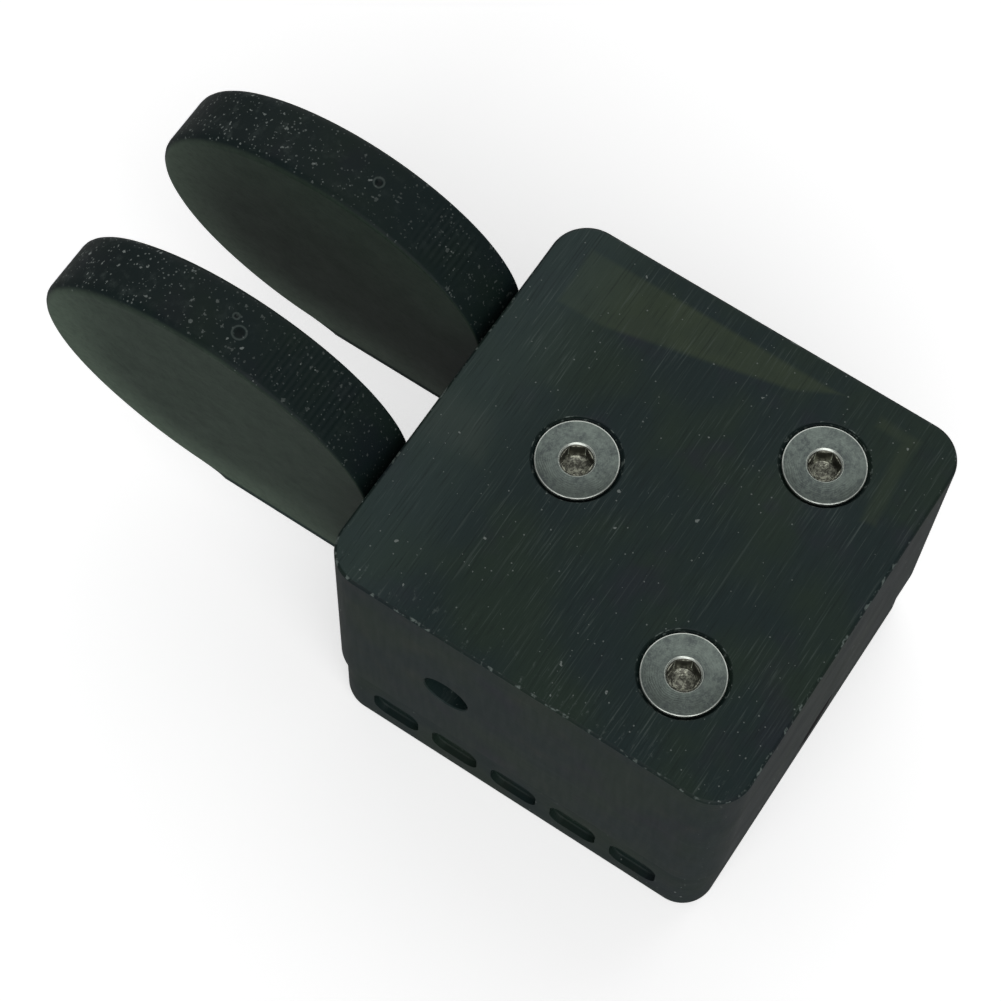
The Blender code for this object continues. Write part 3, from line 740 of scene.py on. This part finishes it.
def finish_inner_nodes():
    """Materials for the CAD nodes that keep their shapes."""
    brass = metal("turned_brass", srgb(196, 160, 92), srgb(150, 112, 56), 0.30, (1.0, 1.0, 9.0))
    nickel = metal("nickel_plate", srgb(205, 202, 194), srgb(160, 157, 150), 0.24)
    nylon = plastic("nylon", srgb(228, 224, 210), srgb(205, 200, 184), 0.5)
    finishes = {
        "solder_tag_common": brass,
        "contact_post": brass,
        "jack_terminal_common": nickel,
        "wire_left": plastic("red_insulation", srgb(150, 24, 18), srgb(118, 16, 12), 0.42),
        "wire_right": plastic("white_insulation", srgb(222, 221, 214), srgb(196, 195, 188), 0.42),
        "wire_common": plastic("black_insulation", srgb(26, 26, 27), srgb(14, 14, 15), 0.42),
    }
    of_each_side = {"solder_tag": brass, "pivot_sleeve": brass, "contact_insert": brass,
                    "magnet": nickel, "jack_terminal": nickel, "pivot_washer": nylon}
    for side, _ in SIDES:
        for kind, finish in of_each_side.items():
            finishes[f"{kind}_{side}"] = finish
    for name, finish in finishes.items():
        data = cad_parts[name].data
        data.materials.clear()
        data.materials.append(finish)


# Pieces


def screw_axes():
    return {place: middle(box)[:2] for place, box in HEADS.items()}


def make_cover():
    shell = prism(rounded_rectangle(COVER.x0, COVER.x1, COVER.y0, COVER.y1, CORNER_RADIUS),
                  COVER.z0, COVER.z1)
    bevel_level(shell, COVER.z1, TOP_EDGE, 4)
    bevel_level(shell, COVER.z0, SEAM_EDGE, 2)
    cover = Solid(shell)
    cavity = rounded_rectangle(COVER.x0 + SIDE_WALL, COVER.x1 - SIDE_WALL, COVER.y0 + FRONT_WALL,
                               COVER.y1 - REAR_WALL, CAVITY_RADIUS)
    cover.cut(prism(cavity, COVER.z0 - OVERCUT, CEILING))
    for place, (sx, sy) in screw_axes().items():
        mouth = (HEADS[place].x1 - HEADS[place].x0) / 2 + SINK_CLEARANCE
        depth = mouth - SCREW_HOLE
        cover.cut(turned([(0, -OVERCUT - TOP_WALL), (SCREW_HOLE, -OVERCUT - TOP_WALL),
                          (SCREW_HOLE, -HEAD_RIM - depth), (mouth, -HEAD_RIM),
                          (mouth, -SINK_EDGE), (mouth + SINK_EDGE + OVERCUT, OVERCUT),
                          (0, OVERCUT)]),
                  at=(sx, sy, COVER.z1))
    _, contact_y, contact_z = middle(node_box("contact_screw_right"))
    wide = KEY_HOLE_RADIUS + OVERCUT + KEY_HOLE_EDGE
    key_hole = [(0, COVER.x0 - OVERCUT), (wide, COVER.x0 - OVERCUT),
                (KEY_HOLE_RADIUS, COVER.x0 + KEY_HOLE_EDGE),
                (KEY_HOLE_RADIUS, COVER.x1 - KEY_HOLE_EDGE),
                (wide, COVER.x1 + OVERCUT), (0, COVER.x1 + OVERCUT)]
    cover.cut(turned(key_hole, BORE_STEPS), at=(0, contact_y, contact_z), turn=ALONG_X)
    inner, outer = LEVER_INNER_X - PRESS_ROOM, LEVER_OUTER_X + SLOT_CLEARANCE
    for _, side in SIDES:
        low, high = sorted((side * inner, side * outer))
        cover.cut(block(low, high, COVER.y0 - OVERCUT, COVER.y0 + FRONT_WALL + OVERCUT,
                        COVER.z0 - OVERCUT, CEILING - 0.1))
    jack_z = middle(JACK)[2]
    cover.cut(rod(NOSE_OPENING, COVER.y1 - REAR_WALL - OVERCUT, COVER.y1 + OVERCUT),
              at=(0, 0, jack_z), turn=ALONG_Y)
    piece("housing_cover", cover.mesh(), "housing", "resin", cover_resin(), "cover")


def make_base():
    slab = prism(rounded_rectangle(BASE.x0, BASE.x1, BASE.y0, BASE.y1, BASE_CORNER), 0, BASE_TOP)
    bevel_level(slab, 0, BASE_EDGE, 6)
    bevel_level(slab, BASE_TOP, SEAM_EDGE, 2)
    base = Solid(slab)
    lip = rounded_rectangle(COVER.x0 + SIDE_WALL + LIP_GAP, COVER.x1 - SIDE_WALL - LIP_GAP,
                            COVER.y0 + FRONT_WALL + LIP_GAP, COVER.y1 - REAR_WALL - LIP_GAP,
                            CAVITY_RADIUS)
    base.join(prism(lip, BASE_FLOOR + LIP_ROOT, LIP_TOP))
    cavity = rounded_rectangle(COVER.x0 + BASE_WALL, COVER.x1 - BASE_WALL,
                               COVER.y0 + BASE_END_WALL, COVER.y1 - BASE_END_WALL,
                               CAVITY_RADIUS)
    base.cut(prism(cavity, BASE_FLOOR, LIP_TOP + OVERCUT))
    for place, (sx, sy) in screw_axes().items():
        radius = FRONT_PILLAR if place == "front" else REAR_PILLAR
        base.join(rod(radius, BASE_FLOOR - PILLAR_ROOT, PILLAR_TOP), at=(sx, sy, 0))
    tongue_top = LEVER.z0 - SLOT_CLEARANCE
    inner = LEVER_INNER_X - PRESS_ROOM + SLOT_CLEARANCE
    for _, side in SIDES:
        low, high = sorted((side * inner, side * LEVER_OUTER_X))
        base.join(block(low, high, BASE.y0 + TONGUE_SETBACK, COVER.y0 + FRONT_WALL,
                        BASE_TOP - TONGUE_ROOT, tongue_top))
    jack_z = middle(JACK)[2]
    room = JACK_HALF + LIP_GAP
    base.cut(block(-room, room, COVER.y1 - REAR_WALL - 3 * LIP_GAP - BASE_WALL,
                   JACK_REAR_Y + LIP_GAP, jack_z - room, LIP_TOP + OVERCUT))
    base.cut(rod(NOSE_OPENING, JACK_REAR_Y - OVERCUT, COVER.y1 + OVERCUT), at=(0, 0, jack_z),
             turn=ALONG_Y)
    entry = NOSE_OPENING - 0.15
    base.cut(block(-entry, entry, JACK_REAR_Y - OVERCUT - 0.1, COVER.y1 + OVERCUT, BASE_TOP - 0.2,
                   LIP_TOP + OVERCUT))
    # A row of plain round-ended recesses along the +X side
    half_long, half_high = RECESS_SIZE[0] / 2, RECESS_SIZE[1] / 2
    for index in range(RECESS_COUNT):
        pill = prism(rounded_rectangle(-half_long, half_long, -half_high, half_high,
                                       RECESS_CORNER, CORNER_STEPS // 2), -RECESS_DEPTH, OVERCUT)
        bevel_level(pill, -RECESS_DEPTH, RECESS_EDGE, 3)
        along = (index - (RECESS_COUNT - 1) / 2) * RECESS_PITCH
        base.cut(pill, at=(BASE.x1, along, RECESS_Z), turn=(pi / 2, 0.0, pi / 2))
    bore = [(0, -OVERCUT), (INSERT_POCKET + INSERT_EDGE + OVERCUT, -OVERCUT),
            (INSERT_POCKET, INSERT_EDGE), (INSERT_POCKET, INSERT_SHOULDER),
            (SCREW_HOLE, INSERT_SHOULDER), (SCREW_HOLE, PILLAR_TOP + OVERCUT),
            (0, PILLAR_TOP + OVERCUT)]
    base.cut(copies(turned(bore, SCREW_BORE_STEPS), screw_axes().values()))
    piece("housing_base", base.mesh(), "housing", "resin", base_resin(), "base")


def lever_stations():
    """The lever's outline from the side, fine where the rim carries ridges or pits.

    Each station is (y, z, outward normal, angle round the oval or None, 1 on the foot's lip).
    """
    (yc, zc), (a, b) = PAD_CENTRE, PAD_HALF
    first, last = asin((ARM_TOP - zc) / b), pi - asin((LEVER.z0 - zc) / b)
    stations, angle = [], first
    while angle < last:
        normal = Vector((cos(angle) / a, sin(angle) / b)).normalized()
        stations.append((yc + a * cos(angle), zc + b * sin(angle), normal, angle, 0.0))
        fine = radians(FINE_ANGLES[0]) < angle < radians(FINE_ANGLES[1])
        speed = hypot(a * sin(angle), b * cos(angle))
        angle += (FINE_STEP if fine else COARSE_STEP) / speed
    meet = (yc + a * cos(last), zc + b * sin(last))
    downward = Vector((0, -1))
    foot_from, foot_to = meet[0] + 2.5, COVER.y0 - 0.6
    for y in (meet[0], meet[0] + 0.15, foot_from, -24.0, -20.0, foot_to, COVER.y0 - 0.1,
              ARM_REAR_Y):
        foot = 1.0 if foot_from <= y <= foot_to else 0.0
        stations.append((y, LEVER.z0, downward, None, foot))
    stations.append((ARM_REAR_Y, ARM_TOP, Vector((0, 1)), None, 0.0))
    return stations


def pit_place(pit):
    """The middle of a pit on the +X lever's rim."""
    turn = radians(pit.angle)
    return (pit.x, PAD_CENTRE[0] + PAD_HALF[0] * cos(turn),
            PAD_CENTRE[1] + PAD_HALF[1] * sin(turn))


def rim_relief(name, x, angle, y, z):
    """How far the rim stands out at this place, in millimetres."""
    if angle is None:
        return 0.0
    ridges = RIDGES[name]
    degrees_round = angle * 180 / pi

    def window(value, low, high, fade):
        rise = min(max((value - low) / fade, 0.0), 1.0)
        fall = min(max((high - value) / fade, 0.0), 1.0)
        return rise * fall

    patch = (window(x, *ridges.across, ridges.fade)
             * window(degrees_round, *ridges.angles, 5.0))
    along = -PAD_HALF[0] * cos(angle)
    relief = patch * RIDGE_HEIGHT * sin(2 * pi * along / RIDGE_PITCH)
    for pit in PITS[name]:
        out = (Vector((x, y, z)) - Vector(pit_place(pit))).length / pit.radius
        if out < 2.2:
            hollow = -pit.depth * max(0.0, 1 - out * out)
            ring = 0.4 * pit.depth * max(0.0, 1 - ((out - 1.25) / 0.45) ** 2)
            relief += hollow + ring
    return relief


def lever_blade(name, side):
    """The pad and arm as one plate with rounded rims, lofted through rings across its thickness."""
    stations = lever_stations()
    quarter = [pi / 2 * step / FILLET_STEPS for step in range(FILLET_STEPS + 1)]
    near = [("near", 1 - cos(turn), 1 - sin(turn)) for turn in quarter]
    far = [("far", depth, inset) for _, depth, inset in reversed(near)]
    flat = [("rim", column / (RIM_COLUMNS + 1), 0.0) for column in range(1, RIM_COLUMNS + 1)]
    mesh = bmesh.new()
    rings = []
    for kind, depth, inset in near + flat + far:
        ring = []
        for y, z, normal, angle, foot in stations:
            growth = min(max((FILLET_GROWS_FROM - y) / FILLET_GROWS_OVER, 0.0), 1.0)
            fillet = REAR_FILLET + (TIP_FILLET - REAR_FILLET) * growth
            sink = fillet * inset
            if kind == "rim":
                across = fillet + depth * (LEVER_OUTER_X - LEVER_INNER_X - 2 * fillet)
                sink = -rim_relief(name, LEVER_INNER_X + across, angle, y, z)
            elif foot:
                across = -FOOT_LIP * (1 - inset)
                sink = FOOT_LIP_HEIGHT * inset
            else:
                across = fillet * depth
            x = LEVER_OUTER_X - across if kind == "far" else LEVER_INNER_X + across
            ring.append(mesh.verts.new((side * x, y - normal.x * sink, z - normal.y * sink)))
        rings.append(ring)
    for low, high in zip(rings, rings[1:]):
        for i in range(len(stations)):
            j = (i + 1) % len(stations)
            mesh.faces.new((low[i], low[j], high[j], high[i]))
    mesh.faces.new(rings[0])
    mesh.faces.new(rings[-1])
    bmesh.ops.recalc_face_normals(mesh, faces=mesh.faces)
    return mesh


def boss_outline(pivot):
    """The rear of the lever from above: a boss round the pivot, and a flare tangent to it."""
    start = Vector((LEVER_OUTER_X - FLARE_SETBACK, FLARE_Y))
    centre = Vector(pivot)
    to_centre = centre - start
    swing = asin(BOSS_RADIUS / to_centre.length)
    heading = atan2(to_centre.y, to_centre.x) - swing
    reach = sqrt(to_centre.length ** 2 - BOSS_RADIUS ** 2)
    touch = start + Vector((cos(heading), sin(heading))) * reach
    inner_x = LEVER_INNER_X + FLARE_SETBACK
    across = inner_x - centre.x
    back = -sqrt(BOSS_RADIUS ** 2 - across ** 2)
    first = atan2(touch.y - centre.y, touch.x - centre.x) * 180 / pi
    last = 360 + atan2(back, across) * 180 / pi
    return [(inner_x, FLARE_Y), tuple(start)] + arc(centre, BOSS_RADIUS, first, last, BOSS_STEPS)


def outwards(side):
    """The turn that points a mesh's +Z away from the middle."""
    return (0.0, side * pi / 2, 0.0)


def make_lever(name, side):
    px, py = screw_axes()["rear_right"]
    lever = Solid(lever_blade(name, side))
    outline = boss_outline((px, py))
    if side == LEFT:
        outline = [(-x, y) for x, y in reversed(outline)]
    lever.join(prism(outline, LEVER.z0 + BOSS_INSET, ARM_TOP - BOSS_INSET))
    lever.cut(rod(SLEEVE_ROOM, LEVER.z0 - OVERCUT, ARM_TOP + OVERCUT), at=(side * px, py, 0))
    _, magnet_y, magnet_z = middle(node_box(f"magnet_{name}"))
    lever.cut(rod(MAGNET_POCKET_RADIUS, -OVERCUT, MAGNET_POCKET_DEPTH, BORE_STEPS),
              at=(side * LEVER_INNER_X, magnet_y, magnet_z), turn=outwards(side))
    _, contact_y, contact_z = middle(node_box(f"contact_screw_{name}"))
    insert = node_box(f"contact_insert_{name}")
    insert_radius = (insert.z1 - insert.z0) / 2 + SLOT_CLEARANCE
    insert_length = insert.x1 - insert.x0 + 2 * SLOT_CLEARANCE
    at = (side * LEVER_INNER_X, contact_y, contact_z)
    lever.cut(rod(insert_radius, -OVERCUT, insert_length, BORE_STEPS), at=at, turn=outwards(side))
    lever.cut(rod(SHANK_RADIUS + SLOT_CLEARANCE, OVERCUT, KEY_BORE_DEPTH, BORE_STEPS), at=at,
              turn=outwards(side))
    piece(f"paddle_{name}", lever.mesh(), f"{name}_lever", "lever_resin",
          lever_resin(name, side), f"lever_{name}")


def threaded(start, end, radius):
    """Profile points of a thread's crests and roots from start down to end."""
    points, z = [], start
    while z - THREAD_PITCH > end:
        points += [(radius, z), (radius, z - THREAD_CREST)]
        points += [(radius - THREAD_DEPTH, z - drop) for drop in THREAD_ROOT]
        z -= THREAD_PITCH
    return points + [(radius, z)]


def make_housing_screw(place):
    box = HEADS[place]
    sx, sy, _ = middle(box)
    head = (box.x1 - box.x0) / 2
    length = box.z1 - box.z0
    neck = HEAD_RIM + head - SHANK_RADIUS
    profile = [(0, 0), (head - 0.1, 0), (head - 0.03, -0.03), (head, -0.1), (head, -HEAD_RIM),
               (SHANK_RADIUS, -neck), (SHANK_RADIUS, -neck - HEAD_NECK)]
    profile += threaded(-neck - HEAD_NECK - THREAD_DEPTH, THREAD_PITCH - length, SHANK_RADIUS)
    profile += [(SHANK_RADIUS - 0.4, -length), (0, -length)]
    at = (sx, sy, box.z1)
    screw = Solid(turned(profile[::-1]), at)
    screw.cut(prism(hexagon(SOCKET_FLATS), -SOCKET_DEPTH, OVERCUT), at)
    drilled = SOCKET_FLATS / 2 - 0.08
    screw.cut(turned([(0, -SOCKET_DEPTH - DRILL_TIP), (drilled, -SOCKET_DEPTH + 0.02),
                      (drilled, -SOCKET_DEPTH + 0.3), (0, -SOCKET_DEPTH + 0.3)], 48), at)
    screw.cut(turned([(0, -0.2), (1.08, -0.2), (CHAMFER_RADIUS, -0.02), (1.3, OVERCUT),
                      (0, OVERCUT)], BORE_STEPS), at)
    piece(f"cap_screw_{place}", screw.mesh(), "housing", "steel", screw_steel(place),
          f"screw_{place}", sharp=24)


def make_contact_screw(name, side, finish):
    box = node_box(f"contact_screw_{name}")
    length, radius = box.x1 - box.x0, (box.z1 - box.z0) / 2
    _, y, z = middle(box)
    profile = [(0, 0), (radius - 0.6, 0), (radius - 0.5, 0.05)]
    profile += [(r, -h) for r, h in threaded(-0.5, 0.2 - length, radius)]
    profile += [(radius - 0.25, length), (0, length)]
    tip = (box.x0 if side == RIGHT else box.x1, y, z)
    screw = Solid(turned(profile, BORE_STEPS), tip, outwards(side))
    screw.cut(prism(hexagon(SET_SOCKET_FLATS), length - SET_SOCKET_DEPTH, length + OVERCUT), tip,
              outwards(side))
    piece(f"set_screw_{name}", screw.mesh(), f"{name}_contact_screw", "steel", finish,
          f"contact_screw_{name}", sharp=24)


def make_screw_inserts():
    finish = metal("insert_brass", srgb(190, 152, 84), srgb(140, 104, 52), 0.34)
    for place in PLACES:
        box = node_box(f"screw_insert_{place}")
        sx, sy, _ = middle(box)
        sleeve = Solid(tube(INSERT_BORE, (box.x1 - box.x0) / 2, box.z0, box.z1), (sx, sy, 0))
        piece(f"brass_insert_{place}", sleeve.mesh(), "housing", "brass", finish,
              f"screw_insert_{place}")


def make_jack():
    _, _, jack_z = middle(JACK)
    body = block(-JACK_HALF, JACK_HALF, JACK.y0, JACK_REAR_Y, jack_z - JACK_HALF,
                 jack_z + JACK_HALF)
    bmesh.ops.bevel(body, geom=body.edges[:], offset=JACK_EDGE, segments=2, profile=0.5,
                     affect="EDGES")
    jack = Solid(body)
    nose = [(0, JACK_REAR_Y - OVERCUT), (NOSE_RADIUS, JACK_REAR_Y - OVERCUT),
            (NOSE_RADIUS, JACK.y1 - NOSE_EDGE), (NOSE_RADIUS - NOSE_EDGE, JACK.y1), (0, JACK.y1)]
    jack.join(turned(nose), at=(0, 0, jack_z), turn=ALONG_Y)
    ring = node_box("jack_contact_ring")
    seat = (ring.x1 - ring.x0) / 2 + RING_EDGE
    jack.cut(rod(JACK_BORE, JACK.y0 + JACK_BACK, JACK.y1 + OVERCUT, BORE_STEPS),
             at=(0, 0, jack_z), turn=ALONG_Y)
    jack.cut(turned([(0, ring.y0 - MOUTH_EDGE), (seat, ring.y0 - MOUTH_EDGE),
                     (seat, JACK.y1 - MOUTH_EDGE), (seat + MOUTH_EDGE + OVERCUT, JACK.y1 + OVERCUT),
                     (0, JACK.y1 + OVERCUT)], BORE_STEPS),
             at=(0, 0, jack_z), turn=ALONG_Y)
    piece("jack_shell", jack.mesh(), "housing", "black_plastic",
          plastic("jack_black", srgb(24, 24, 25), srgb(15, 15, 16), 0.4), "jack_body")
    sleeve = Solid(tube(JACK_BORE - 0.02, (ring.x1 - ring.x0) / 2, ring.y0, ring.y1,
                        RING_EDGE),
                   (0, 0, jack_z), ALONG_Y)
    piece("jack_sleeve", sleeve.mesh(), "housing", "nickel",
          metal("sleeve_nickel", srgb(200, 196, 186), srgb(150, 146, 138), 0.26),
          "jack_contact_ring")


# Studio


def make_camera():
    data = bpy.data.cameras.new("camera")
    data.lens = CAMERA_LENS
    data.sensor_width = SENSOR
    data.clip_start = 0.01
    camera = bpy.data.objects.new("camera", data)
    back = (Vector(CAMERA_AT) - Vector(CAMERA_AIM)).normalized()
    right = Vector(CAMERA_UP).cross(back).normalized()
    up = back.cross(right)
    axes = Matrix((right, up, back)).transposed().to_4x4()
    camera.matrix_world = Matrix.Translation(CAMERA_AT) @ axes
    bpy.context.scene.collection.objects.link(camera)
    bpy.context.scene.camera = camera


def make_floor():
    mesh = bmesh.new()
    bmesh.ops.create_grid(mesh, x_segments=4, y_segments=4, size=FLOOR_SIZE / 2)
    data = bpy.data.meshes.new("floor")
    mesh.to_mesh(data)
    mesh.free()
    finish = bpy.data.materials.new("floor")
    finish.use_nodes = True
    shader = finish.node_tree.nodes["Principled BSDF"]
    shader.inputs["Base Color"].default_value = (FLOOR_GREY, FLOOR_GREY, FLOOR_GREY, 1.0)
    shader.inputs["Roughness"].default_value = 0.9
    shader.inputs["Specular IOR Level"].default_value = 0.1
    shader.inputs["Emission Color"].default_value = (1.0, 1.0, 1.0, 1.0)
    shader.inputs["Emission Strength"].default_value = FLOOR_GLOW
    data.materials.append(finish)
    floor = bpy.data.objects.new("floor", data)
    floor.visible_glossy = False
    bpy.context.scene.collection.objects.link(floor)


def make_light(name, towards, strength, softness):
    """A broad soft sun; towards is the direction from the object to the light."""
    data = bpy.data.lights.new(name, "SUN")
    data.energy = strength
    data.angle = radians(softness)
    light = bpy.data.objects.new(name, data)
    light.rotation_euler = Vector(towards).to_track_quat("Z", "Y").to_euler()
    bpy.context.scene.collection.objects.link(light)


def make_room():
    """A grey room that lights the object and looks nearly white behind it."""
    world = bpy.data.worlds.new("room")
    world.use_nodes = True
    background = world.node_tree.nodes["Background"]
    path = world.node_tree.nodes.new("ShaderNodeLightPath")
    shade = world.node_tree.nodes.new("ShaderNodeMapRange")
    shade.inputs["To Min"].default_value = ROOM_GREY
    shade.inputs["To Max"].default_value = BACKDROP_WHITE
    world.node_tree.links.new(path.outputs["Is Camera Ray"], shade.inputs["Value"])
    world.node_tree.links.new(shade.outputs["Result"], background.inputs["Color"])
    bpy.context.scene.world = world


def make_studio():
    make_camera()
    make_floor()
    make_light("key", (0.75, 0.45, 0.75), 1.5, 70)
    make_light("fill", (-0.8, -0.3, 0.6), 0.9, 80)
    make_room()
    bpy.context.scene.view_settings.view_transform = "Standard"


def main():
    make_studio()
    make_cover()
    make_base()
    for name, side in SIDES:
        make_lever(name, side)
    steel = metal("set_screw_steel", srgb(120, 120, 118), srgb(84, 84, 84), 0.34)
    for name, side in SIDES:
        make_contact_screw(name, side, steel)
    for place in PLACES:
        make_housing_screw(place)
    make_screw_inserts()
    make_jack()
    finish_inner_nodes()


main()
